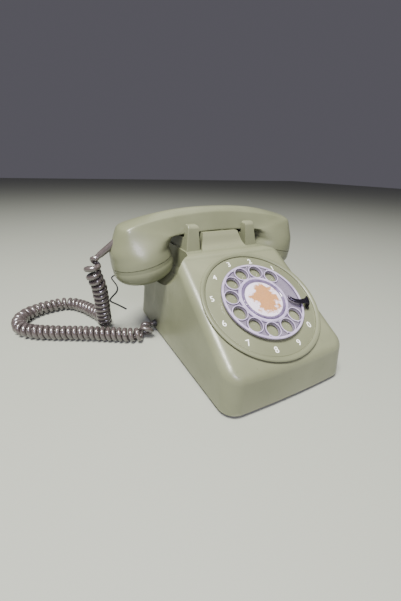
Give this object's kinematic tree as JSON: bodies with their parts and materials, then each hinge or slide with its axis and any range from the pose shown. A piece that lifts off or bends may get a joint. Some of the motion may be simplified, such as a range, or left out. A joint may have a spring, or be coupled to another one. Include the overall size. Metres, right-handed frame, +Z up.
{
  "type": "rotary desk telephone",
  "caption": "Desk telephone with a rotary dial, a handset resting across a cradle, a curly handset cord and a cut line wire, with dial, hook switch and ringer inside.",
  "frame": {"origin": "on the table plane, under the middle of the housing", "axes": "+X is to the right seen from the front, +Y is to the rear, +Z is up; metres"},
  "size_m": [0.3221, 0.3424, 0.135],
  "materials": {
    "shell_plastic": "semi-gloss, worn",
    "clear_plastic": "clear, slightly yellowed",
    "paper": "matte card, stained",
    "dark_metal": "dark, satin",
    "plated_steel": "zinc plated",
    "brass": "satin",
    "black_plastic": "moulded, matte",
    "clear_plunger": "clear moulding",
    "coil_winding": "enamelled copper wire",
    "black_rubber": "matte",
    "cord_vinyl": "vinyl with a satin sheen"
  },
  "bodies": {
    "base": {"housing": "shell_plastic", "base_plate": "plated_steel", "rubber_feet": "black_rubber", "housing_screws": "plated_steel", "dial_bracket": "plated_steel", "dial_screws": "plated_steel", "number_plate": "shell_plastic", "dial_frame": "plated_steel", "finger_stop": "dark_metal", "governor_cup": "plated_steel", "spring_drum": "plated_steel", "pulse_contacts": "black_plastic", "hook_bracket": "plated_steel", "hook_pin": "plated_steel", "hook_contacts": "black_plastic", "hook_spring": "plated_steel", "network_block": "black_plastic", "terminal_screws": "brass", "ringer_frame": "plated_steel", "ringer_coil": "coil_winding", "gong_left": "brass", "gong_right": "brass", "gong_screws": "plated_steel", "handset_cord": "cord_vinyl", "cord_grommet": "black_rubber", "line_wire": "black_rubber", "line_grommet": "black_rubber"},
    "dial": {"finger_wheel": "clear_plastic", "wheel_card": "paper", "card_retainer": "clear_plastic", "dial_shaft": "plated_steel", "main_gear": "brass"},
    "pulse": {"pulse_wheel": "brass"},
    "fly": {"governor": "brass"},
    "button_left": {"plunger_left": "clear_plunger"},
    "button_right": {"plunger_right": "clear_plunger"},
    "lever": {"hook_lever": "plated_steel"},
    "handset": {"handset_handle": "shell_plastic", "receiver_cap": "shell_plastic", "transmitter_cap": "shell_plastic", "receiver_unit": "black_plastic", "transmitter_unit": "black_plastic", "transmitter_cup": "black_plastic", "cord_relief": "cord_vinyl"},
    "striker": {"clapper": "plated_steel"},
    "volume": {"volume_wheel": "black_plastic"}
  },
  "joints": [
    {"name": "dial_spin", "type": "hinge", "parent": "base", "child": "dial", "pos_m": [0, -0.0545, 0.065], "axis": [0, 0.5225, -0.8526], "range_deg": [0, 318], "stiffness_Nm_per_rad": 0.004, "springref_deg": -34.38},
    {"name": "pulse_spin", "type": "hinge", "parent": "base", "child": "pulse", "pos_m": [-0.00958, -0.07693, 0.05125], "axis": [0, 0.5225, -0.8526], "range_deg": [-1280, 0]},
    {"name": "governor_spin", "type": "hinge", "parent": "base", "child": "fly", "pos_m": [0.00696, -0.08207, 0.04811], "axis": [0, 0.5225, -0.8526], "range_deg": [0, 3400]},
    {"name": "handset_lift", "type": "slide", "parent": "base", "child": "handset", "axis": [0, 0, 1], "range_m": [0, 0.03], "deforming": ["handset_cord"]},
    {"name": "left_plunger", "type": "slide", "parent": "base", "child": "button_left", "axis": [0, 0, 1], "range_m": [0, 0.005]},
    {"name": "right_plunger", "type": "slide", "parent": "base", "child": "button_right", "axis": [0, 0, 1], "range_m": [0, 0.005]},
    {"name": "lever_turn", "type": "hinge", "parent": "base", "child": "lever", "pos_m": [0, 0.074, 0.079], "axis": [-1, 0, 0], "range_deg": [0, 8]},
    {"name": "clapper_swing", "type": "hinge", "parent": "base", "child": "striker", "pos_m": [0, -0.003, 0.02], "axis": [0, 0, 1], "range_deg": [-5, 5]},
    {"name": "volume_turn", "type": "hinge", "parent": "base", "child": "volume", "pos_m": [0.046, -0.04, 0.0024], "axis": [0, 0, 1], "range_deg": [0, 90]}
  ],
  "couplings": [
    {"joint": "pulse_spin", "follows": "dial_spin", "ratio": -4},
    {"joint": "governor_spin", "follows": "dial_spin", "ratio": 10.667},
    {"joint": "left_plunger", "follows": "handset_lift", "ratio": 0.16657},
    {"joint": "right_plunger", "follows": "handset_lift", "ratio": 0.16657},
    {"joint": "lever_turn", "follows": "handset_lift", "rad_per_m": 4.596}
  ]
}
